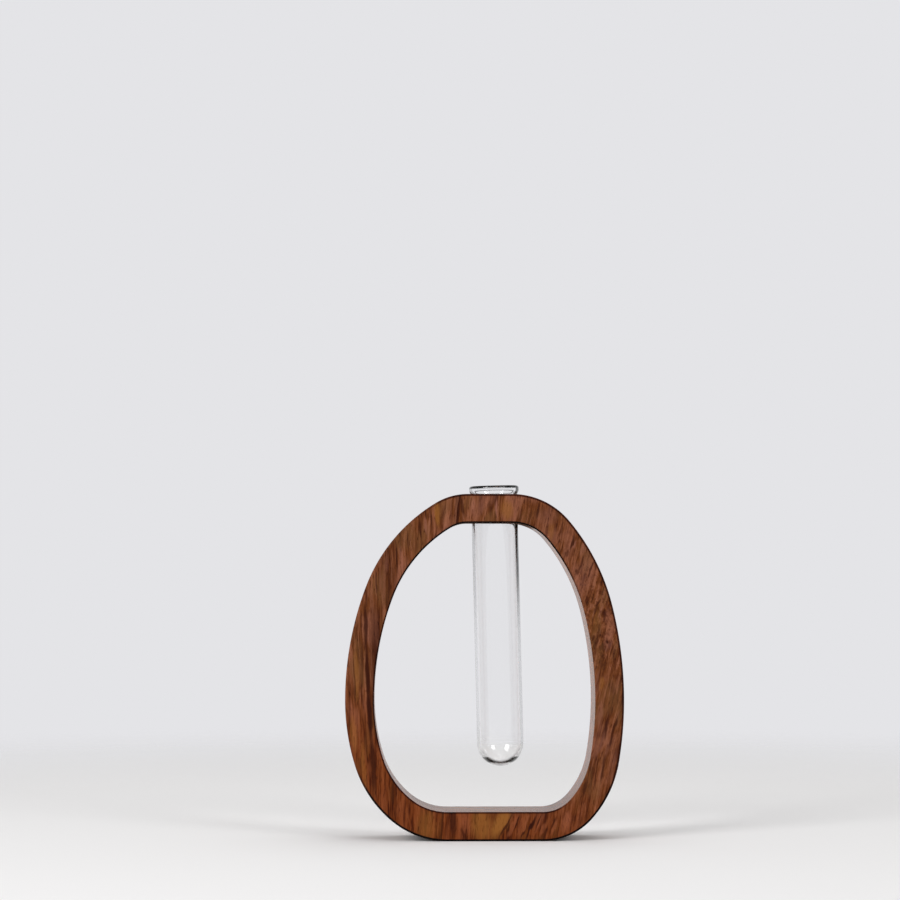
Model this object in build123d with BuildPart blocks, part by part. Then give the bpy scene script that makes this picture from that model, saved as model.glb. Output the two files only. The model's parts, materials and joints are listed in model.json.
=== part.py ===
# Test tube vase: a glass tube that hangs by its lip in an egg-shaped wooden ring.
# Millimetres, +Z up, front towards -Y. The origin is under the middle of the ring, where it stands.

import os
from math import cos, radians, sin, sqrt, tan

from build123d import *

# Glass tube
tube_diameter = 25.0
tube_wall = 1.5
tube_length = 151.0
lip_overhang = 0.9
flare_height = 2.6
rim_height = 2.4

# How the tube hangs in the top rail, with its foot to the right of its lip
tube_offset = 5.8
tube_lean = 1.4
hole_clearance = 0.2
mouth_ease = 0.3
foot_gap = 23.2

# Board that the ring is cut from: the cheek is the wood in front of the hole and behind it
frame_width = 149.0
rail_width = 15.5
hole_cheek = 4.6
edge_round = 1.0
window_ease = 0.6

# Outline of the ring. The two sides differ: the left one bulges lower and its foot is rounder.
# A flat is measured from the middle of the ring to where the corner starts.
# A corner is an arc of the given radius that turns through the given angle.
widest_height = 75.0
left_foot_flat = 19.8
left_foot_radius = 46.5
left_foot_turn = 39.5
left_crown_flat = 9.0
left_crown_radius = 33.0
left_crown_turn = 31.0
right_foot_flat = 30.8
right_foot_radius = 35.5
right_foot_turn = 48.5
right_crown_flat = 14.6
right_crown_radius = 40.0
right_crown_turn = 50.0

# The hole is upright and just wide enough for the leaning tube to pass with its clearance
lean = radians(tube_lean)
tube_radius = tube_diameter / 2
hole_radius = tube_radius / cos(lean) + rail_width / 2 * tan(lean) + hole_clearance
board_depth = 2 * (hole_radius + hole_cheek)

# Tube profile: radii, and levels along the tube's own axis from the middle of the rail
bore_radius = tube_radius - tube_wall
lip_radius = tube_radius + lip_overhang
rim_round = (lip_radius - bore_radius) / 2
neck_level = rail_width / 2 - mouth_ease
flare_level = neck_level + flare_height
rim_level = flare_level + rim_height
bead_level = rim_level - rim_round
foot_level = rim_level - tube_length
bowl_level = foot_level + tube_radius

# The ring is as tall as the hanging tube, the gap under it and the two rails make it
tube_drop = tube_radius - bowl_level * cos(lean)
rail_middle = rail_width + foot_gap + tube_drop
frame_height = rail_middle + rail_width / 2

os.makedirs("parts", exist_ok=True)


def quarter(side, rise, flat, radius, turn):
    """Add one quarter of the outline, from the widest point to the flat.

    side is +1 for right and -1 for left, rise is the signed height from the widest level to the flat.
    The corner is an arc that leaves the flat. A pair of arcs, tangent to each other, joins its end to
    the upright tangent at the widest point: each arc uses the same length of its end tangent.
    """
    up = 1 if rise > 0 else -1
    swing = radians(turn)
    widest = Vector(side * frame_width / 2, widest_height)
    flat_end = Vector(side * flat, widest_height + rise)
    corner_centre = flat_end - Vector(0, up * radius)
    corner_end = corner_centre + Vector(side * sin(swing), up * cos(swing)) * radius

    start_way = Vector(0, up)
    end_way = Vector(-side * cos(swing), up * sin(swing))
    chord = corner_end - widest
    spread = 2 * (1 - start_way.dot(end_way))
    reach = chord.dot(start_way + end_way)
    tangent = (sqrt(reach**2 + spread * chord.dot(chord)) - reach) / spread
    meeting = (widest + start_way * tangent + corner_end - end_way * tangent) / 2

    flank = TangentArc(widest, meeting, tangent=start_way)
    TangentArc(meeting, corner_end, tangent=flank % 1)
    TangentArc(corner_end, flat_end, tangent=end_way)


# Wooden ring: the outline, less the same outline set in by the rail's width, drilled from above
with BuildPart() as wooden_frame:
    with BuildSketch(Plane.XZ):
        with BuildLine():
            crown_rise = frame_height - widest_height
            quarter(-1, -widest_height, left_foot_flat, left_foot_radius, left_foot_turn)
            quarter(-1, crown_rise, left_crown_flat, left_crown_radius, left_crown_turn)
            quarter(1, -widest_height, right_foot_flat, right_foot_radius, right_foot_turn)
            quarter(1, crown_rise, right_crown_flat, right_crown_radius, right_crown_turn)
            Line((-left_foot_flat, 0), (right_foot_flat, 0))
            Line((-left_crown_flat, frame_height), (right_crown_flat, frame_height))
        make_face()
        offset(amount=-rail_width, mode=Mode.SUBTRACT)
    extrude(amount=board_depth / 2, both=True)

    # Round the outer edges over and ease the window's edges, front and back
    fillet([face.outer_wire().edges() for face in wooden_frame.faces().filter_by(Axis.Y)], edge_round)
    chamfer([face.inner_wires().edges() for face in wooden_frame.faces().filter_by(Axis.Y)], window_ease)

    with Locations((tube_offset, 0, frame_height)):
        CounterSinkHole(
            radius=hole_radius,
            counter_sink_radius=hole_radius + mouth_ease,
            depth=crown_rise,
            counter_sink_angle=90,
        )

# Glass tube: a profile turned about the tube's own axis
tube_plane = Plane(
    origin=(tube_offset, 0, rail_middle),
    x_dir=(cos(lean), 0, sin(lean)),
    z_dir=(0, -1, 0),
)

with BuildPart() as glass_tube:
    with BuildSketch(tube_plane):
        with BuildLine():
            # Outside, from the round foot up to the flared lip
            CenterArc((0, bowl_level), tube_radius, -90, 90)
            Polyline(
                (tube_radius, bowl_level),
                (tube_radius, neck_level),
                (lip_radius, flare_level),
                (lip_radius, bead_level),
            )
            # Full round of the rim, then the bore down to the inside of the foot
            CenterArc((bore_radius + rim_round, bead_level), rim_round, 0, 180)
            Line((bore_radius, bead_level), (bore_radius, bowl_level))
            CenterArc((0, bowl_level), bore_radius, -90, 90)
            Line((0, foot_level), (0, foot_level + tube_wall))
        make_face()
    revolve(axis=Axis(tube_plane.origin, tube_plane.y_dir))

wooden_frame.part.label = "wooden_frame"
glass_tube.part.label = "glass_tube"
export_step(wooden_frame.part, "parts/wooden_frame.step")
export_step(glass_tube.part, "parts/glass_tube.step")
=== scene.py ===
import json
from math import radians

import bpy
import numpy as np
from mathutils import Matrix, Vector


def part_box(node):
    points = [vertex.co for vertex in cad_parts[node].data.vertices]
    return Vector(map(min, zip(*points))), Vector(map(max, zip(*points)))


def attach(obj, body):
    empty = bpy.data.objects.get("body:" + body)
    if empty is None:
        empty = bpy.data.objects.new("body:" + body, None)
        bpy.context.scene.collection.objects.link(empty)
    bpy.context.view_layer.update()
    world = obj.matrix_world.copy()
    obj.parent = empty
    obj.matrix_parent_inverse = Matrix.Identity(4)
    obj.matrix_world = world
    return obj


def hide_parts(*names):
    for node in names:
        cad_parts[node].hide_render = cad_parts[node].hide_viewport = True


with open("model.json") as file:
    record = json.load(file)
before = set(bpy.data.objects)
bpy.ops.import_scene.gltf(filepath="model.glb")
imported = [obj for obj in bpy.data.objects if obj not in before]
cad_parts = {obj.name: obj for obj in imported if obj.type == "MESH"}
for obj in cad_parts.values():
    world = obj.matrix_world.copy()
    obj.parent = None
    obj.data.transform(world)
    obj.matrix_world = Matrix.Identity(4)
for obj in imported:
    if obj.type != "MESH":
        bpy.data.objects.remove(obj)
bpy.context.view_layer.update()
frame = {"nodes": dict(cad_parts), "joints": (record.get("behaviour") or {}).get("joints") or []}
mm = 0.001  # sizes below are in millimetres, meshes are in metres
print("frame loaded:", sorted(frame["nodes"]))


# tools for materials

def linear(hexColour):  # sRGB hex to linear RGBA, by the standard curve
    channels = np.array([int(hexColour[i:i + 2], 16) for i in (1, 3, 5)]) / 255
    curved = np.where(channels <= 0.04045, channels / 12.92, ((channels + 0.055) / 1.055) ** 2.4)
    return (*curved.tolist(), 1.0)


def addNode(tree, kind, inputs=None, stops=None, **settings):  # inputs are plain values or sockets to link
    node = tree.nodes.new("ShaderNode" + kind)
    for name, value in settings.items():
        setattr(node, name, value)
    for name, value in (inputs or {}).items():
        if isinstance(value, bpy.types.NodeSocket):
            tree.links.new(value, node.inputs[name])
        else:
            node.inputs[name].default_value = value
    if stops:  # a colour ramp's own black and white ends give way to these stops
        ramp = node.color_ramp.elements
        for place, hexColour in stops:
            ramp.new(place).color = linear(hexColour)
        ramp.remove(ramp[len(ramp) - 1])
        ramp.remove(ramp[0])
    return node


def newMaterial(name):
    material = bpy.data.materials.new(name)
    material.use_nodes = True
    material.node_tree.nodes.clear()
    return material, material.node_tree


# tools for meshes

def quadGrid(rows, columns, wrapRows):  # corner numbers of every quad, columns wrap round, rows too if asked
    row = np.arange(rows if wrapRows else rows - 1)[:, None]
    column = np.arange(columns)[None, :]
    nextRow = (row + 1) % rows * columns
    nextColumn = (column + 1) % columns
    row = row * columns
    corners = np.broadcast_arrays(row + column, row + nextColumn, nextRow + nextColumn, nextRow + column)
    return np.stack(corners, axis=-1).reshape(-1, 4)


def newPiece(name, points, faces, sharpAngle):
    mesh = bpy.data.meshes.new(name)
    mesh.from_pydata((points * mm).tolist(), [], faces)
    mesh.validate()
    piece = bpy.data.objects.new(name, mesh)
    bpy.context.scene.collection.objects.link(piece)
    mesh.shade_smooth()
    mesh.set_sharp_from_angle(angle=radians(sharpAngle))
    return piece


def turned(name, profile, axisFoot, axisWay, segments, sharpAngle):
    # profile of (radius, level) turned about an axis: foot + level * way + radius * (cos * side + sin * back)
    way = np.array(axisWay) / np.linalg.norm(axisWay)
    back = np.array((0.0, 1.0, 0.0))
    side = np.cross(back, way)
    angle = np.linspace(0, 2 * np.pi, segments, endpoint=False)
    rim = np.cos(angle)[:, None] * side + np.sin(angle)[:, None] * back
    rings = profile[1:-1]  # the first and last profile points are the poles
    points = rings[:, 0, None, None] * rim + rings[:, 1, None, None] * way + axisFoot
    poles = profile[[0, -1], 1, None] * way + axisFoot
    count = len(rings) * segments
    faces = quadGrid(len(rings), segments, False).tolist()
    first = np.arange(segments)
    second = (first + 1) % segments
    last = count - segments
    faces += np.stack([np.full(segments, count), second, first], axis=1).tolist()
    faces += np.stack([np.full(segments, count + 1), last + first, last + second], axis=1).tolist()
    return newPiece(name, np.concatenate([points.reshape(-1, 3), poles]), faces, sharpAngle)


def bend(start, end, startWay, share):
    # arc from start to end that leaves along startWay, on the complex plane x + iz: the chord to a share of
    # the turn is the whole chord times sin(half that turn) / sin(half the turn), turned back by the rest
    nearlyStraight = 1e-9  # radians, keeps a straight run from dividing by nought
    chord = end - start
    half = np.angle(chord / startWay) + nearlyStraight
    line = start + chord * np.sin(share * half) / np.sin(half) * np.exp(1j * half * (share - 1))
    return line, startWay * np.exp(2j * half * share)


# wooden ring: an egg-shaped outline of tangent arcs, with a rounded section carried along it

ring = {
    "railWidth": 15.5,  # outline to window
    "outerEdge": (1.0, 0.42),  # round-over of the outer edges, and the strip of faces beside it
    "windowEdge": (0.6, 0.75),  # the same for the sanded edge of the window
    "widestHeight": 75.0,
    "leftFoot": (19.8, 46.5, 39.5),  # flat, corner radius, corner turn in degrees
    "leftCrown": (9.0, 33.0, 31.0),
    "rightFoot": (30.8, 35.5, 48.5),
    "rightCrown": (14.6, 40.0, 50.0),
    "station": 1.1,  # spacing along the outline
    "cornerSteps": 6,  # faces round each edge of the section
    "faceSteps": 8,  # points along each of its flats
    "holeRadius": 12.893,
    "holeEase": 0.3,  # width of the sanded mouth
    "holeAt": 5.8,  # to the right of the middle
    "holeSegments": 96,
    "cutterSpare": 5.0,  # the hole's cutter stands out of the rail by this much, above and below
    "sharpAngle": 40,  # degrees
}
ringLow, ringHigh = (np.array(corner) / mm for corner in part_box("wooden_frame"))
ringWidth, ringDepth, ringHeight = ringHigh - ringLow


def outlineQuarter(side, rise, flat, radius, turn):  # widest point to the flat, side and rise are signed
    up = 1j * np.sign(rise)
    swing = radians(turn)
    widest = side * ringWidth / 2 + 1j * ring["widestHeight"]
    flatEnd = side * flat + 1j * (ring["widestHeight"] + rise)
    endWay = -side * np.cos(swing) + up * np.sin(swing)  # where the corner arc begins
    cornerEnd = flatEnd - up * radius + radius * (side * np.sin(swing) + up * np.cos(swing))
    chord = cornerEnd - widest
    # a pair of arcs with equal tangents t: spread * t squared + 2 * reach * t = chord squared
    spread = 2 - 2 * (np.conj(up) * endWay).real
    reach = (np.conj(chord) * (up + endWay)).real
    tangent = (np.sqrt(reach**2 + spread * abs(chord) ** 2) - reach) / spread
    meeting = (widest + up * tangent + cornerEnd - endWay * tangent) / 2
    lines, ways, way = [], [], up
    for start, end in ((widest, meeting), (meeting, cornerEnd), (cornerEnd, flatEnd)):
        steps = int(np.ceil(abs(end - start) / ring["station"]))
        line, arcWays = bend(start, end, way, np.arange(steps) / steps)
        way = bend(start, end, way, 1.0)[1]
        lines.append(line)
        ways.append(arcWays)
    return np.append(np.concatenate(lines), flatEnd), np.append(np.concatenate(ways), way)


def ringOutline():  # points and outward normals, anticlockwise from the right
    foot, crown = -ring["widestHeight"], ringHeight - ring["widestHeight"]
    quarters = [
        (outlineQuarter(1, crown, *ring["rightCrown"]), 1),
        (outlineQuarter(-1, crown, *ring["leftCrown"]), -1),
        (outlineQuarter(-1, foot, *ring["leftFoot"]), 1),
        (outlineQuarter(1, foot, *ring["rightFoot"]), -1),
    ]
    lines, normals = [], []
    for number, ((line, ways), order) in enumerate(quarters):
        line, normal = line[::order], (-1j * order * ways)[::order]
        lines.append(line[:-1] if order < 0 else line)  # a widest point starts a quarter
        normals.append(normal[:-1] if order < 0 else normal)
        if order > 0:  # then a flat follows, up to the next quarter's flat end
            flatEnd = quarters[number + 1][0][0][-1]
            steps = int(np.ceil(abs(flatEnd - line[-1]) / ring["station"]))
            lines.append(line[-1] + (flatEnd - line[-1]) * np.arange(1, steps) / steps)
            normals.append(np.full(steps - 1, normal[-1]))
    return np.concatenate(lines), np.concatenate(normals)


def ringSection():  # rounded rectangle of (set-in from the outline, depth), corners as quarter circles
    deep = ringDepth / 2
    corners = [(0, -deep, "outerEdge", 180), (ring["railWidth"], -deep, "windowEdge", 270),
               (ring["railWidth"], deep, "windowEdge", 0), (0, deep, "outerEdge", 90)]
    middle = np.array((ring["railWidth"] / 2, 0.0))
    arcs = []
    for across, depth, kind, start in corners:
        radius, strip = ring[kind]
        corner = np.array((across, depth))
        centre = corner + np.sign(middle - corner) * radius
        turn = np.radians(start + np.linspace(0, 90, ring["cornerSteps"] + 1))
        arcs.append((centre + radius * np.stack([np.cos(turn), np.sin(turn)], axis=1), strip))
    section = []
    for (arc, strip), (following, nextStrip) in zip(arcs, arcs[1:] + arcs[:1]):
        span = following[0] - arc[-1]
        length = np.linalg.norm(span)
        along = np.linspace(strip, length - nextStrip, ring["faceSteps"]) / length  # a strip at each end
        section += [arc, arc[-1] + span * along[:, None]]
    return np.concatenate(section)


def woodenRing():
    outline, normal = ringOutline()
    section = ringSection()
    line = outline[:, None] - normal[:, None] * section[None, :, 0]  # outline minus normal times set-in
    depth = np.broadcast_to(section[None, :, 1], line.shape)
    points = np.stack([line.real, depth, line.imag], axis=-1).reshape(-1, 3)
    faces = quadGrid(*line.shape, True)[:, ::-1].tolist()
    piece = newPiece("wooden_ring", points, faces, ring["sharpAngle"])

    # the hole is cut from above, with a mouth that widens at 45 degrees
    narrow, ease = ring["holeRadius"], ring["holeEase"]
    wide = narrow + ease
    high = ringHeight + ring["cutterSpare"]
    low = ringHeight - ring["railWidth"] - ring["cutterSpare"]
    cutterProfile = np.array([
        (0, low), (narrow, low), (narrow, ringHeight - ease), (wide, ringHeight), (wide, high), (0, high)])
    cutter = turned("hole_cutter", cutterProfile, np.array((ring["holeAt"], 0, 0)), (0, 0, 1),
                    ring["holeSegments"], ring["sharpAngle"])
    cut = piece.modifiers.new("hole", "BOOLEAN")
    cut.object, cut.operation, cut.solver = cutter, "DIFFERENCE", "EXACT"
    bpy.context.view_layer.update()
    drilled = bpy.data.meshes.new_from_object(piece.evaluated_get(bpy.context.evaluated_depsgraph_get()))
    piece.modifiers.clear()
    piece.data = drilled
    bpy.data.objects.remove(cutter)
    drilled.set_sharp_from_angle(angle=radians(ring["sharpAngle"]))
    return piece


woodRing = woodenRing()
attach(woodRing, "frame")
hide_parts("wooden_frame")
print("wooden ring:", len(woodRing.data.polygons), "faces")


# glass tube: a profile turned about the way that the tube slides

tube = {
    "diameter": 25.0,
    "wall": 1.5,
    "length": 151.0,
    "lipOverhang": 0.9,
    "flareHeight": 2.6,
    "rimHeight": 2.4,
    "neckBelowTop": 0.3,  # the flare starts this far under the top of the rail
    "segments": 128,
    "bowlSteps": 22,  # points of the profile on each stretch, its ends included
    "wallSteps": 24,
    "flareSteps": 9,
    "beadSteps": 15,
    "boreSteps": 26,
    "sharpAngle": 60,  # degrees
}


def arcPoints(centre, radius, start, end, steps):  # centre + radius * (cos, sin), angles in degrees
    turn = np.radians(np.linspace(start, end, steps))
    return np.array(centre) + radius * np.stack([np.cos(turn), np.sin(turn)], axis=1)


def tubeAxis():  # where the axis meets the middle of the top rail, and the way that the tube slides
    slide = next(joint for joint in frame["joints"] if joint["name"] == "tube_lift")
    return np.array((ring["holeAt"], 0, ringHeight - ring["railWidth"] / 2)), np.array(slide["axis"])


def tubeLevels():  # up the axis from the middle of the rail: neck, top of the flare, rim, middle of the bowl
    neck = ring["railWidth"] / 2 - tube["neckBelowTop"]
    flare = neck + tube["flareHeight"]
    rim = flare + tube["rimHeight"]
    return neck, flare, rim, rim - tube["length"] + tube["diameter"] / 2


def glassTube():
    outer = tube["diameter"] / 2
    bore = outer - tube["wall"]
    lip = outer + tube["lipOverhang"]
    bead = (lip - bore) / 2  # radius of the lip's round
    neck, flare, rim, bowl = tubeLevels()
    sweep = np.linspace(0, 1, tube["flareSteps"])[:, None]  # the flare eases in and out: 3 s2 - 2 s3
    flareLine = np.concatenate([outer + (lip - outer) * (3 * sweep**2 - 2 * sweep**3),
                                neck + (flare - neck) * sweep], axis=1)
    wallLevels = np.linspace(bowl, neck, tube["wallSteps"])[1:-1, None]
    boreLevels = np.linspace(rim - bead, bowl, tube["boreSteps"])[1:-1, None]
    profile = np.concatenate([
        arcPoints((0, bowl), outer, -90, 0, tube["bowlSteps"]),
        np.concatenate([np.full_like(wallLevels, outer), wallLevels], axis=1),
        flareLine,
        arcPoints((bore + bead, rim - bead), bead, 0, 180, tube["beadSteps"]),
        np.concatenate([np.full_like(boreLevels, bore), boreLevels], axis=1),
        arcPoints((0, bowl), bore, 0, -90, tube["bowlSteps"]),
    ])
    return turned("glass_test_tube", profile, *tubeAxis(), tube["segments"], tube["sharpAngle"])


testTube = glassTube()
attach(testTube, "tube")
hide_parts("glass_tube")
print("glass tube:", len(testTube.data.polygons), "faces")


# oiled walnut: one flat-sawn board with upright grain, sanded and oiled. Red-brown with a dark heart streak,
# ochre patches and a short curly figure to the right. Its eased edges are painted darker as shade, darkest
# where they look down, and left out where they face left, towards the stronger lamp, unless they look down.
# Faces that look down are painted darker as shade too. Its oil film turns pale where it is seen edge on

walnut = {
    "deep": "#341206", "dark": "#4a210d", "mid": "#653618", "warm": "#764328", "pale": "#8b573e",
    "ochre": "#905b28", "rosy": "#96604e", "olive": "#6c492b", "pore": "#b8a89c", "footTint": "#f0d0a0",
    # the next line's last three colours are painted shade: for faces that look down, the eased edges, and the
    # eased edges that look down
    "endTint": "#a89488", "paintedUnderShade": "#3c281e", "paintedEdgeShade": "#86685a", "paintedDownEdgeShade": "#22160f",
    # where each tone lies on the sum of the grain's patterns
    "toneStops": [(0.36, "deep"), (0.43, "dark"), (0.49, "mid"), (0.54, "warm"), (0.62, "pale")],
    "fanNeutral": -47.6,  # where the grain stands upright, right of it the grain leans to the right
    "fanRate": 0.00197,  # change of lean (as a slope) for each millimetre to the side
    "fanLevel": 92.0,  # height at which the fan moves nothing aside
    "depthSlant": 0.9,  # how far the figure moves aside for each millimetre into the board
    "depthPace": 0.15,  # how much of its other change through the board is kept
    "footSlant": 0.4,  # the warmer foot reaches higher on the left, by this much for each millimetre
    "burlLevel": 117.0,  # middle of the curly stretch on the right
    "wander": {"drift": (5.0, 5.0, 0.0), "curl": (3.2, 0.0, 3.2)},  # how far they move the later patterns
    "frayGrain": (3.0, 9.0, 10.0),  # a streak's ragged outline: size of its waves, their reach and detail
    "frayReach": (1.5, 0.0, 6.0),
    "frayDetail": 2.0,
    "streakReach": 1.1,  # how far a soft streak reaches, in half sizes
    "streakCore": 0.636,  # how near its middle it is full, from 0 at its reach to 1 at the middle
    "ior": 1.5,
    "specularLevel": 0.07,  # the oil has soaked in, so little of a varnish's gloss is left
    "sheen": (0.28, 0.3, "#ffc8a4"),  # weight, roughness, tint
    "roughness": {"face": 0.42, "wall": 0.2, "edge": 0.7, "under": 0.95},  # wall is any side of the board
    "reliefStrength": 0.35,
    "reliefDepth": 0.08,  # millimetres
    "noiseRoughness": 0.55,
    "pattern": {  # width, depth and length in millimetres, lean in degrees, detail, place in the noise
        "drift": (22.0, 22.0, 60.0, 0.0, 1.0, 0.0),
        "bands": (6.5, 12.0, 120.0, 0.0, 2.0, 40.0),
        "lines": (1.6, 4.0, 28.0, 0.0, 2.0, 80.0),
        "fibres": (0.7, 0.9, 9.0, 0.0, 2.0, 120.0),  # fibres and pores are too fine to show, so drawn coarser
        "veins": (1.4, 3.0, 18.0, 0.0, 1.5, 160.0),
        "hue": (9.0, 14.0, 24.0, 6.0, 1.0, 320.0),
        "pores": (0.45, 0.45, 4.5, 0.0, 1.0, 360.0),
        "curl": (5.0, 8.0, 6.0, 0.0, 1.0, 400.0),
        "mottle": (1.8, 3.0, 4.0, -8.0, 3.0, 200.0),
        "flecks": (1.2, 2.0, 3.6, -10.0, 3.0, 240.0),
        "crossFlecks": (1.1, 2.0, 3.0, -42.0, 3.0, 280.0),
    },
    "longGrain": {"bands": 0.35, "lines": 0.4, "fibres": 0.25},  # shares of the patterns in the tone
    "shortGrain": {"bands": 0.15, "mottle": 0.5, "lines": 0.1, "fibres": 0.25},
    "masks": {  # soft steps: what is measured, from, to, value before, value after
        "right": ("face", -15.0, 40.0, 0.0, 1.0),
        "left": ("face", 30.0, -20.0, 0.35, 0.55),
        "foot": ("footward", 75.0, 10.0, 0.0, 1.0),
        "burl": ("offBurl", 34.0, 12.0, 0.3, 1.0),
        "flecks": ("flecks", 0.54, 0.66, 0.0, 0.7),
        "crossFlecks": ("crossFlecks", 0.56, 0.68, 0.0, 0.6),
        "veins": ("veins", 0.55, 0.67, 0.0, 1.0),
        "paleVeins": ("veins", 0.44, 0.34, 0.0, 0.5),
        "rosy": ("hue", 0.52, 0.68, 0.0, 0.35),
        "olive": ("hue", 0.5, 0.36, 0.0, 0.4),
        "pores": ("pores", 0.6, 0.72, 0.0, 1.0),
        "onFace": ("flatness", 0.2, 0.8, 0.0, 1.0),
        "offFace": ("flatness", 0.9999, 0.998, 0.0, 1.0),
        "offWall": ("flatness", 0.2, 0.55, 0.0, 1.0),
        "offWallLow": ("flatness", 0.02, 0.2, 0.0, 1.0),
        "wall": ("flatness", 0.5, 0.1, 0.0, 1.0),
        # the painted edge shade is left out on edges that face left, towards the stronger lamp
        "awayFromLeft": ("edgeRight", -0.85, -0.3, 0.0, 1.0),
        "endGrain": ("upright", 0.55, 0.95, 0.0, 0.6),
        # faces that look down: rougher, and painted darker as shade
        "under": ("facingUp", -0.85, -0.97, 0.0, 1.0),
        # eased edges that look down, where the painted shade is darkest
        "lower": ("edgeUp", -0.2, -0.6, 0.0, 1.0),
    },
    "products": {  # masks that are multiplied
        "short": ("right", "burl", "onFace"),
        "flecks": ("flecks", "short"),
        "crossFlecks": ("crossFlecks", "short"),
        "veins": ("veins", "left"),
        # painted shade along the eased edges
        "edge": ("offFace", "offWall", "awayFromLeft"),
        # painted shade on the eased edges that look down
        "downEdgeShadeMask": ("offFace", "offWallLow", "lower"),
    },
    "layers": [  # mask, colour and how it is laid over the tone, in this order
        ("rosy", "rosy", "MIX"), ("olive", "olive", "MIX"), ("rosyStreaks", "rosy", "MIX"),
        ("paleVeins", "pale", "MIX"), ("foot", "footTint", "MULTIPLY"), ("veins", "dark", "MIX"),
        ("flecks", "dark", "MIX"), ("crossFlecks", "dark", "MIX"), ("ochreStreaks", "ochre", "MIX"),
        ("darkStreaks", "deep", "MIX"), ("pores", "pore", "MULTIPLY"), ("endGrain", "endTint", "MULTIPLY"),
        # the last three layers are painted shade
        ("under", "paintedUnderShade", "MULTIPLY"), ("edge", "paintedEdgeShade", "MULTIPLY"),
        ("downEdgeShadeMask", "paintedDownEdgeShade", "MULTIPLY"),
    ],
    # streaks seen on the face: x, z, length and width in millimetres, lean in degrees, strength
    "darkStreaks": [
        (-63.5, 113.0, 34.0, 2.6, -1.3, 0.8), (-62.5, 88.0, 38.0, 3.0, -3.0, 0.95),
        (-61.5, 68.0, 38.0, 3.2, -3.2, 1.0), (-59.5, 40.5, 44.0, 3.0, -4.0, 0.8),
        (-69.5, 86.5, 31.0, 1.1, -3.0, 0.6), (-58.0, 92.0, 84.0, 9.0, -2.0, 0.62),
        (-47.0, 151.0, 21.0, 1.5, -4.0, 0.85), (-34.5, 165.5, 16.0, 1.4, -5.0, 0.8),
        (-28.5, 172.0, 12.0, 1.2, -6.0, 0.6), (-41.0, 161.0, 12.0, 1.1, -2.0, 0.55),
        (-58.0, 138.0, 16.0, 1.2, -3.0, 0.65), (-12.0, 178.0, 14.0, 2.7, -12.0, 0.65),
        (2.5, 177.5, 9.0, 2.0, 0.0, 0.4), (28.5, 176.0, 12.0, 1.9, 12.0, 0.6),
        (41.5, 166.5, 12.0, 1.2, 3.0, 0.6), (47.0, 159.5, 12.0, 1.6, 16.0, 0.85),
        (44.0, 153.5, 4.5, 2.7, 20.0, 0.6), (51.5, 147.0, 15.0, 1.5, 18.0, 0.65),
        (57.0, 145.0, 9.5, 1.6, 22.0, 0.75), (49.5, 142.5, 4.5, 2.7, 0.0, 0.6),
        (60.5, 127.0, 5.0, 2.4, 45.0, 0.7), (59.0, 122.5, 7.5, 1.6, 15.0, 0.7),
        (64.0, 119.5, 9.5, 1.8, 10.0, 0.6), (57.5, 117.5, 6.5, 1.6, 5.0, 0.6),
        (65.5, 105.5, 3.2, 2.0, 0.0, 0.95), (60.0, 106.5, 7.5, 2.0, 0.0, 0.6),
        (69.0, 99.5, 9.5, 1.4, 12.0, 0.6), (68.0, 81.0, 9.5, 5.0, 0.0, 0.35),
        (68.5, 58.0, 27.0, 1.6, 15.5, 0.75), (64.5, 60.5, 16.0, 1.6, 4.0, 0.65),
        (63.0, 38.5, 18.0, 1.8, 10.0, 0.7), (59.0, 34.5, 16.0, 1.4, 8.0, 0.6),
        (53.5, 29.5, 14.0, 2.7, 14.0, 0.6), (11.2, 7.5, 18.0, 1.7, 28.0, 0.8),
        (24.5, 7.5, 19.0, 1.9, 24.0, 1.0), (-16.8, 9.0, 18.0, 5.0, -3.0, 0.65),
        (-11.0, 3.5, 8.5, 2.0, -30.0, 0.6), (32.5, 5.0, 11.0, 1.4, 14.0, 0.7),
        (17.0, 9.5, 10.0, 1.2, 24.0, 0.8), (20.5, 4.5, 8.0, 1.2, 26.0, 0.75),
        (28.5, 10.5, 9.0, 1.2, 20.0, 0.8), (36.5, 10.0, 10.0, 1.3, 18.0, 0.7),
        (-52.0, 138.0, 44.0, 13.0, -6.0, 0.3), (-67.0, 100.0, 60.0, 14.0, -2.0, 0.12),
    ],
    "ochreStreaks": [
        (-68.5, 89.5, 33.0, 3.7, -2.0, 0.45), (-70.0, 57.0, 24.0, 4.3, -4.0, 0.35),
        (-64.5, 39.5, 33.0, 3.2, -5.0, 0.3),
        (-25.5, 175.0, 17.0, 3.7, -4.0, 0.65), (12.0, 176.0, 14.0, 8.0, 0.0, 0.5),
        (62.5, 83.0, 9.6, 3.2, 10.0, 0.4), (8.3, 9.5, 22.0, 10.0, 28.0, 0.85),
        (-1.8, 8.4, 22.0, 14.0, -8.0, 0.62), (35.5, 164.5, 12.0, 4.3, 3.0, 0.3),
        (58.5, 118.5, 21.0, 7.5, 10.0, 0.2), (-31.0, 8.0, 22.0, 13.0, -4.0, 0.35),
    ],
    "rosyStreaks": [
        (6.3, 177.5, 12.0, 1.4, 0.0, 0.7), (-6.2, 178.5, 12.0, 4.3, 0.0, 0.4),
        (-31.5, 168.0, 12.0, 1.6, -5.0, 0.45), (-44.5, 151.0, 16.0, 2.1, -5.0, 0.4),
        (-52.5, 147.5, 15.0, 2.1, 0.0, 0.35), (48.0, 158.5, 4.8, 1.6, 25.0, 0.7),
        (53.0, 156.0, 12.0, 3.7, 20.0, 0.4), (66.0, 106.5, 13.0, 6.4, 0.0, 0.35),
        (62.0, 121.8, 8.6, 1.1, 25.0, 0.5), (58.5, 121.8, 8.6, 1.1, 25.0, 0.5),
        (43.0, 10.0, 13.0, 5.3, 14.0, 0.65), (19.5, 7.5, 16.0, 4.8, 20.0, 0.45),
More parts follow.
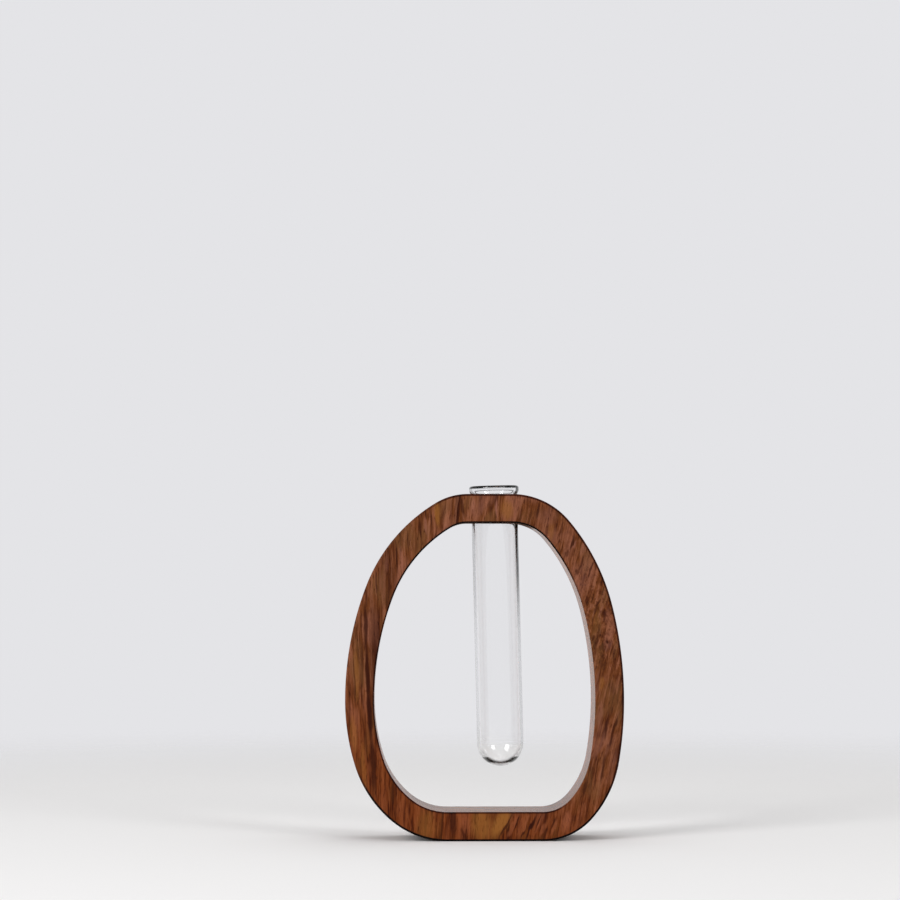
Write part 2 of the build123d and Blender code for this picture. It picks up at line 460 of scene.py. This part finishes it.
        (31.0, 6.3, 12.0, 2.2, 22.0, 0.6), (-10.0, 10.0, 14.0, 7.5, -10.0, 0.55),
        (14.8, 8.0, 16.0, 2.6, 28.0, 0.6), (21.3, 9.0, 14.0, 2.2, 26.0, 0.55),
        (28.5, 9.0, 12.0, 2.0, 24.0, 0.5), (37.0, 7.5, 12.0, 2.4, 20.0, 0.5),
        (52.5, 140.0, 34.0, 11.0, 18.0, 0.3), (33.0, 172.0, 14.0, 14.0, 10.0, 0.3),
        (61.5, 66.5, 20.0, 4.3, 5.0, 0.35), (65.5, 50.0, 15.0, 3.2, 14.0, 0.35),
    ],
}


def oiledWalnut():
    material, tree = newMaterial("oiled_walnut")
    noiseMiddle = (0.5, 0.5, 0.5)
    place = addNode(tree, "TexCoord").outputs
    point = addNode(tree, "VectorMath", {0: place["Object"], "Scale": 1 / mm}, operation="SCALE").outputs[0]
    x, y, z = addNode(tree, "SeparateXYZ", {0: point}).outputs
    facing = addNode(tree, "SeparateXYZ", {0: place["Normal"]}).outputs

    # into the board the figure moves aside, x + slant * inward, and changes slowly, front + pace * inward
    front = float(ringLow[1])
    inward = addNode(tree, "Math", {0: y, 1: front}, operation="SUBTRACT").outputs[0]
    face = addNode(tree, "Math", {0: inward, 1: walnut["depthSlant"], 2: x},
                   operation="MULTIPLY_ADD").outputs[0]
    depth = addNode(tree, "Math", {0: inward, 1: walnut["depthPace"], 2: front},
                    operation="MULTIPLY_ADD").outputs[0]
    flat = addNode(tree, "CombineXYZ", {0: face, 2: z}).outputs[0]
    solid = addNode(tree, "CombineXYZ", {0: face, 1: depth, 2: z}).outputs[0]

    # across the grain: x - rate * (z - level) * (x - neutral), a fan that opens upwards
    rise = addNode(tree, "Math", {0: z, 1: walnut["fanLevel"]}, operation="SUBTRACT").outputs[0]
    aside = addNode(tree, "Math", {0: face, 1: walnut["fanNeutral"]}, operation="SUBTRACT").outputs[0]
    shear = addNode(tree, "Math", {0: rise, 1: aside}, operation="MULTIPLY").outputs[0]
    across = addNode(tree, "Math", {0: shear, 1: -walnut["fanRate"], 2: face},
                     operation="MULTIPLY_ADD").outputs[0]
    grain = addNode(tree, "CombineXYZ", {0: across, 1: depth, 2: z}).outputs[0]

    # which way an edge of the face looks: the normal without its depth, made one long
    sideways = addNode(tree, "VectorMath", {0: place["Normal"], 1: (1.0, 0.0, 1.0)}, operation="MULTIPLY")
    sideways = addNode(tree, "VectorMath", {0: sideways.outputs[0]}, operation="NORMALIZE")
    edgeWay = addNode(tree, "SeparateXYZ", {0: sideways.outputs[0]}).outputs
    measured = {"face": face, "facingUp": facing["Z"], "edgeRight": edgeWay["X"], "edgeUp": edgeWay["Z"]}

    # every pattern is a noise in units of its own size, and two of them make the grain wander for the rest
    for name, (width, deep, length, lean, detail, cut) in walnut["pattern"].items():
        local = addNode(tree, "Mapping", {
            "Vector": grain, "Location": (0, cut, 0), "Rotation": (0, radians(lean), 0),
            "Scale": (width, deep, length)}, vector_type="TEXTURE").outputs[0]
        noise = addNode(tree, "TexNoise", {
            "Vector": local, "Scale": 1.0, "Detail": detail, "Roughness": walnut["noiseRoughness"]}).outputs
        measured[name] = noise["Fac"]
        if name in walnut["wander"]:  # point + (noise - its middle) * reach
            off = addNode(tree, "VectorMath", {0: noise["Color"], 1: noiseMiddle}, operation="SUBTRACT")
            grain = addNode(tree, "VectorMath", {0: off.outputs[0], 1: walnut["wander"][name], 2: grain},
                            operation="MULTIPLY_ADD").outputs[0]

    # soft steps of what is measured, and their products
    measured["flatness"] = addNode(tree, "Math", {0: facing["Y"]}, operation="ABSOLUTE").outputs[0]
    measured["upright"] = addNode(tree, "Math", {0: facing["Z"]}, operation="ABSOLUTE").outputs[0]
    measured["footward"] = addNode(tree, "Math", {0: face, 1: walnut["footSlant"], 2: z},
                                   operation="MULTIPLY_ADD").outputs[0]
    above = addNode(tree, "Math", {0: z, 1: walnut["burlLevel"]}, operation="SUBTRACT").outputs[0]
    measured["offBurl"] = addNode(tree, "Math", {0: above}, operation="ABSOLUTE").outputs[0]
    mask = {}
    for name, (what, low, high, before, after) in walnut["masks"].items():
        mask[name] = addNode(tree, "MapRange", {
            "Value": measured[what], "From Min": low, "From Max": high, "To Min": before, "To Max": after},
            interpolation_type="SMOOTHSTEP").outputs[0]
    for name, (first, *others) in walnut["products"].items():
        total = mask[first]
        for other in others:
            total = addNode(tree, "Math", {0: total, 1: mask[other]}, operation="MULTIPLY").outputs[0]
        mask[name] = total

    # tone: long grain, and short mottled grain in the curly stretch, each a sum of patterns times shares
    tones = []
    for shares in (walnut["longGrain"], walnut["shortGrain"]):
        total = 0.0
        for name, share in shares.items():
            total = addNode(tree, "Math", {0: measured[name], 1: share, 2: total},
                            operation="MULTIPLY_ADD").outputs[0]
        tones.append(total)
    tone = addNode(tree, "Mix", {0: mask["short"], 2: tones[0], 3: tones[1]}, data_type="FLOAT").outputs[0]
    stops = [(at, walnut[name]) for at, name in walnut["toneStops"]]
    colour = addNode(tree, "ValToRGB", {"Fac": tone}, stops=stops).outputs[0]

    # the streaks that this board has: soft ellipses, by 1 - length of (point - middle) / reach, with a ragged
    # outline that changes through the board
    local = addNode(tree, "Mapping", {"Vector": solid, "Scale": walnut["frayGrain"]}, vector_type="TEXTURE")
    fray = addNode(tree, "TexNoise", {
        "Vector": local.outputs[0], "Scale": 1.0, "Detail": walnut["frayDetail"]})
    fray = addNode(tree, "VectorMath", {0: fray.outputs["Color"], 1: noiseMiddle}, operation="SUBTRACT")
    ragged = addNode(tree, "VectorMath", {0: fray.outputs[0], 1: walnut["frayReach"], 2: flat},
                     operation="MULTIPLY_ADD").outputs[0]
    half = walnut["streakReach"] / 2
    for name in ("darkStreaks", "ochreStreaks", "rosyStreaks"):
        most = 0.0
        for middle, level, length, width, lean, strength in walnut[name]:
            local = addNode(tree, "Mapping", {
                "Vector": ragged, "Location": (middle, 0, level), "Rotation": (0, radians(lean), 0),
                "Scale": (width * half, 1, length * half)}, vector_type="TEXTURE").outputs[0]
            near = addNode(tree, "TexGradient", {"Vector": local}, gradient_type="SPHERICAL").outputs["Fac"]
            soft = addNode(tree, "MapRange", {
                "Value": near, "From Max": walnut["streakCore"], "To Max": strength},
                interpolation_type="SMOOTHSTEP").outputs[0]
            most = addNode(tree, "Math", {0: most, 1: soft}, operation="MAXIMUM").outputs[0]
        mask[name] = most

    # the colours in their order, then roughness, and relief: fibres stand up, pores are sunk
    for name, tint, blend in walnut["layers"]:
        colour = addNode(tree, "Mix", {0: mask[name], 6: colour, 7: linear(walnut[tint])},
                         data_type="RGBA", blend_type=blend).outputs[2]
    rough = walnut["roughness"]["face"]
    for name in ("wall", "edge", "under"):
        rough = addNode(tree, "Mix", {0: mask[name], 2: rough, 3: walnut["roughness"][name]},
                        data_type="FLOAT").outputs[0]
    height = addNode(tree, "Math", {0: measured["fibres"], 1: mask["pores"]},
                     operation="SUBTRACT").outputs[0]
    relief = addNode(tree, "Bump", {
        "Height": height, "Strength": walnut["reliefStrength"],
        "Distance": walnut["reliefDepth"] * mm}).outputs[0]
    sheen, sheenRoughness, sheenTint = walnut["sheen"]
    shader = addNode(tree, "BsdfPrincipled", {
        "Base Color": colour, "Roughness": rough, "IOR": walnut["ior"],
        "Specular IOR Level": walnut["specularLevel"], "Sheen Weight": sheen,
        "Sheen Roughness": sheenRoughness, "Sheen Tint": linear(sheenTint), "Normal": relief})
    addNode(tree, "OutputMaterial", {"Surface": shader.outputs[0]})
    return material


woodRing.data.materials.clear()
woodRing.data.materials.append(oiledWalnut())
print("oiled walnut: done")


# borosilicate glass, drawn tube with a fire-polished lip: clear, faintly wavy along its length, with a
# painted dark line along its edges, where it is looked at along the wall, standing in for dark surroundings
# seen through it

glass = {
    # edge is the colour of the painted dark line along the tube's edges, round its lip and in rings round its
    # foot
    "tint": "#ffffff", "edge": "#080a09", "ior": 1.473, "roughness": 0.0,
    "bodyTurn": (0.46, 0.57),  # how far the skin turns from the eye where the dark edge starts and is full
    "bowlTurn": (0.3, 0.46),  # the same on the bowl
    "lipRise": (-0.5, -0.1),  # levels from the middle of the lip's round between which its dark top sets in
    "lipTurn": (0.0, 0.12, 0.8),  # how far it turns from the eye where it is weakest and full, least strength
    "skin": (11.6, 11.9),  # radii between which the bore's clear surface gives way to the skin
    "leftEdge": 0.6,  # how much of the dark edge is left on the side that faces the stronger lamp
    "leftTurn": (-0.6, 0.4),  # how far to the right the skin looks where that side ends
    "fade": (-78.0, -32.0, 0.4),  # levels between which the dark edge gains, and its least strength
    "footRings": 8.0,  # it comes back in rings round the bowl, this many to a full turn
    "ringFade": (-0.4, 0.4),  # where a ring starts and is full, on its wave from -1 to 1
    "footReach": -0.35,  # where the rings are full, as the depth below the bowl's middle in radii
    "waveLength": 30.0, "waveWidth": 10.0, "waveHeight": 0.03,  # waves of the drawn wall, in millimetres
    "waveStrength": 0.3, "waveDetail": 0.0,
}


def clearGlass():
    material, tree = newMaterial("borosilicate_glass")
    place = addNode(tree, "TexCoord").outputs["Object"]
    size = (glass["waveWidth"] * mm, glass["waveWidth"] * mm, glass["waveLength"] * mm)
    local = addNode(tree, "Mapping", {"Vector": place, "Scale": size}, vector_type="TEXTURE").outputs[0]
    wave = addNode(tree, "TexNoise", {
        "Vector": local, "Scale": 1.0, "Detail": glass["waveDetail"]}).outputs["Fac"]
    relief = addNode(tree, "Bump", {
        "Height": wave, "Strength": glass["waveStrength"], "Distance": glass["waveHeight"] * mm}).outputs[0]

    # radius about the tube's axis, or about the middle of the bowl below it, and level along the axis
    seat, way = tubeAxis()
    flare, rim, bowl = tubeLevels()[1:]
    lean = float(np.arctan2(way[0], way[2]))
    about = addNode(tree, "Mapping", {
        "Vector": place, "Location": tuple(seat * mm), "Rotation": (0, lean, 0), "Scale": (mm, mm, mm)},
        vector_type="TEXTURE").outputs[0]
    aside, back, level = addNode(tree, "SeparateXYZ", {0: about}).outputs
    below = addNode(tree, "Math", {0: level, 1: bowl}, operation="SUBTRACT").outputs[0]
    below = addNode(tree, "Math", {0: below, 1: 0.0}, operation="MINIMUM").outputs[0]
    out = addNode(tree, "CombineXYZ", {0: aside, 1: back, 2: below}).outputs[0]
    radius = addNode(tree, "VectorMath", {0: out}, operation="LENGTH").outputs["Value"]

    # painted dark edge: a soft step of how far the skin turns from the eye, 1 - cosine of the angle, sooner
    # on the bowl, weaker on the left, and none in the bore
    skin = addNode(tree, "MapRange", {
        "Value": radius, "From Min": glass["skin"][0], "From Max": glass["skin"][1]}).outputs[0]
    down = addNode(tree, "Math", {0: below, 1: radius}, operation="DIVIDE").outputs[0]
    onBowl = addNode(tree, "MapRange", {"Value": down, "From Max": glass["footReach"]}).outputs[0]
    turn = [addNode(tree, "Mix", {0: onBowl, 2: onBody, 3: atFoot}, data_type="FLOAT").outputs[0]
            for onBody, atFoot in zip(glass["bodyTurn"], glass["bowlTurn"])]
    turnedAway = addNode(tree, "LayerWeight", {"Blend": 0.5}).outputs["Facing"]
    edge = addNode(tree, "MapRange", {
        "Value": turnedAway, "From Min": turn[0], "From Max": turn[1], "To Max": skin},
        interpolation_type="SMOOTHSTEP").outputs[0]
    toRight = addNode(tree, "SeparateXYZ", {0: addNode(tree, "TexCoord").outputs["Normal"]}).outputs["X"]
    start, end = glass["leftTurn"]
    share = addNode(tree, "MapRange", {
        "Value": toRight, "From Min": start, "From Max": end, "To Min": glass["leftEdge"]},
        interpolation_type="SMOOTHSTEP").outputs[0]
    share = addNode(tree, "Math", {0: share, 1: onBowl}, operation="MAXIMUM").outputs[0]  # whole on the bowl
    edge = addNode(tree, "Math", {0: edge, 1: share}, operation="MULTIPLY").outputs[0]

    # the painted edge pales on the way down, and comes back in painted rings round the bowl: cos(rings *
    # angle from down)
    start, end, least = glass["fade"]
    strength = addNode(tree, "MapRange", {
        "Value": level, "From Min": start, "From Max": end, "To Min": least},
        interpolation_type="SMOOTHSTEP").outputs[0]
    angle = addNode(tree, "Math", {0: down}, operation="ARCCOSINE").outputs[0]
    angle = addNode(tree, "Math", {0: angle, 1: glass["footRings"]}, operation="MULTIPLY").outputs[0]
    rings = addNode(tree, "Math", {0: angle}, operation="COSINE").outputs[0]
    start, end = glass["ringFade"]
    rings = addNode(tree, "MapRange", {"Value": rings, "From Min": start, "From Max": end, "To Max": onBowl},
                    interpolation_type="SMOOTHSTEP").outputs[0]
    strength = addNode(tree, "Math", {0: strength, 1: rings}, operation="MAXIMUM").outputs[0]
    edge = addNode(tree, "Math", {0: edge, 1: strength}, operation="MULTIPLY").outputs[0]

    # the round of the lip is painted dark all the way round, a little less where it faces the eye
    middle = (flare + rim) / 2
    start, end, least = glass["lipTurn"]
    lip = addNode(tree, "MapRange", {
        "Value": turnedAway, "From Min": start, "From Max": end, "To Min": least}).outputs[0]
    lip = addNode(tree, "Math", {0: lip, 1: skin}, operation="MULTIPLY").outputs[0]
    start, end = glass["lipRise"]
    lip = addNode(tree, "MapRange", {
        "Value": level, "From Min": middle + start, "From Max": middle + end, "To Max": lip}).outputs[0]
    edge = addNode(tree, "Math", {0: edge, 1: lip}, operation="MAXIMUM").outputs[0]
    tint = addNode(tree, "Mix", {0: edge, 6: linear(glass["tint"]), 7: linear(glass["edge"])},
                   data_type="RGBA").outputs[2]
    clear = addNode(tree, "BsdfPrincipled", {
        "Base Color": tint, "Roughness": glass["roughness"], "IOR": glass["ior"],
        "Transmission Weight": 1.0, "Normal": relief})
    through = addNode(tree, "BsdfTransparent", {"Color": linear(glass["tint"])})
    shadowRay = addNode(tree, "LightPath").outputs["Is Shadow Ray"]  # lamps shine through the tube
    mix = addNode(tree, "MixShader", {0: shadowRay, 1: clear.outputs[0], 2: through.outputs[0]})
    addNode(tree, "OutputMaterial", {"Surface": mix.outputs[0]})
    return material


testTube.data.materials.append(clearGlass())
print("borosilicate glass: done")


# stage: pale floor that fades into a pale surround, soft lamps, the camera

stage = {
    "surround": "#e4e4e7",
    "floor": "#edecec",
    "floorHalf": 1500.0,  # half its side
    "fadeFrom": 350.0,  # how far from the middle it starts to fade into the surround, and is gone
    "fadeTo": 1000.0,
    "ambientColour": "#ffffff",
    "ambient": 0.45,
    "nearSide": 0.3,  # how bright a gloss shows the surround on the camera's side
    "nearEdge": (-0.2, 0.4),  # where that side ends, as the depth of the way that is looked
    "overhead": 0.15,  # how bright it shows it overhead
    "overheadEdge": (0.2, 0.55),  # where that starts and is full, as the rise of the way
    "lampTarget": (0.0, 0.0, 0.09),
    "lamps": [  # name, place in metres, size in metres, power in watts
        ("leftSoftbox", (-1.3, -1.3, 1.0), (0.8, 1.2), 22.0),
        ("rightSoftbox", (1.4, -1.5, 1.1), (0.7, 1.0), 12.0),
        ("topSoftbox", (0.2, 0.2, 1.8), (1.4, 1.4), 8.0),
    ],
}


def paleFloor():
    half = stage["floorHalf"] * mm
    mesh = bpy.data.meshes.new("floor")
    corners = [(-half, -half, 0), (half, -half, 0), (half, half, 0), (-half, half, 0)]
    mesh.from_pydata(corners, [], [(0, 1, 2, 3)])
    floor = bpy.data.objects.new("floor", mesh)
    bpy.context.scene.collection.objects.link(floor)
    material, tree = newMaterial("pale_paper_sweep")  # matt paper: one even tone that keeps a soft shadow
    place = addNode(tree, "TexCoord").outputs["Object"]
    away = addNode(tree, "VectorMath", {0: place}, operation="LENGTH").outputs["Value"]
    fade = addNode(tree, "MapRange", {
        "Value": away, "From Min": stage["fadeFrom"] * mm, "From Max": stage["fadeTo"] * mm},
        interpolation_type="SMOOTHSTEP").outputs[0]
    paper = addNode(tree, "BsdfDiffuse", {"Color": linear(stage["floor"])})
    gone = addNode(tree, "BsdfTransparent")
    mix = addNode(tree, "MixShader", {0: fade, 1: paper.outputs[0], 2: gone.outputs[0]})
    addNode(tree, "OutputMaterial", {"Surface": mix.outputs[0]})
    mesh.materials.append(material)


def paleSurround():
    world = bpy.data.worlds.new("pale_surround")
    bpy.context.scene.world = world
    world.use_nodes = True
    tree = world.node_tree
    tree.nodes.clear()
    ray = addNode(tree, "LightPath").outputs
    way = addNode(tree, "SeparateXYZ", {0: addNode(tree, "TexCoord").outputs["Generated"]}).outputs
    start, end = stage["nearEdge"]
    shown = addNode(tree, "MapRange", {
        "Value": way["Y"], "From Min": start, "From Max": end, "To Min": stage["nearSide"]},
        interpolation_type="SMOOTHSTEP").outputs[0]
    start, end = stage["overheadEdge"]
    shown = addNode(tree, "MapRange", {
        "Value": way["Z"], "From Min": start, "From Max": end, "To Min": shown, "To Max": stage["overhead"]},
        interpolation_type="SMOOTHSTEP").outputs[0]
    lit = addNode(tree, "Background", {
        "Color": linear(stage["ambientColour"]), "Strength": stage["ambient"]})
    strengths = {"Is Glossy Ray": shown, "Is Transmission Ray": 1.0, "Is Camera Ray": 1.0}
    for rayKind, strength in strengths.items():
        pale = addNode(tree, "Background", {"Color": linear(stage["surround"]), "Strength": strength})
        lit = addNode(tree, "MixShader", {0: ray[rayKind], 1: lit.outputs[0], 2: pale.outputs[0]})
    addNode(tree, "OutputWorld", {"Surface": lit.outputs[0]})


def softLamps():
    for name, place, size, power in stage["lamps"]:
        light = bpy.data.lights.new(name, "AREA")
        light.shape = "RECTANGLE"
        light.size, light.size_y = size
        light.energy = power
        lamp = bpy.data.objects.new(name, light)
        lamp.location = place
        way = Vector(stage["lampTarget"]) - Vector(place)
        lamp.rotation_euler = way.to_track_quat("-Z", "Y").to_euler()
        bpy.context.scene.collection.objects.link(lamp)


eye = {
    "place": (-0.0452, -1.4715, 0.1485),  # metres
    "up": 2.36,  # degrees above level
    "right": 1.05,  # degrees from straight ahead
    "lens": 108.8,  # millimetres
    "sensor": 36.0,
}


def photoCamera():
    camera = bpy.data.cameras.new("camera")
    camera.lens, camera.sensor_width = eye["lens"], eye["sensor"]
    rig = bpy.data.objects.new("camera", camera)
    rig.location = eye["place"]
    level = 90  # degrees of tilt at which a camera looks level
    rig.rotation_euler = (radians(level + eye["up"]), 0, radians(-eye["right"]))
    bpy.context.scene.collection.objects.link(rig)
    bpy.context.scene.camera = rig


paleFloor()
paleSurround()
softLamps()
photoCamera()
bpy.context.scene.view_settings.view_transform = "Standard"
print("stage: done")
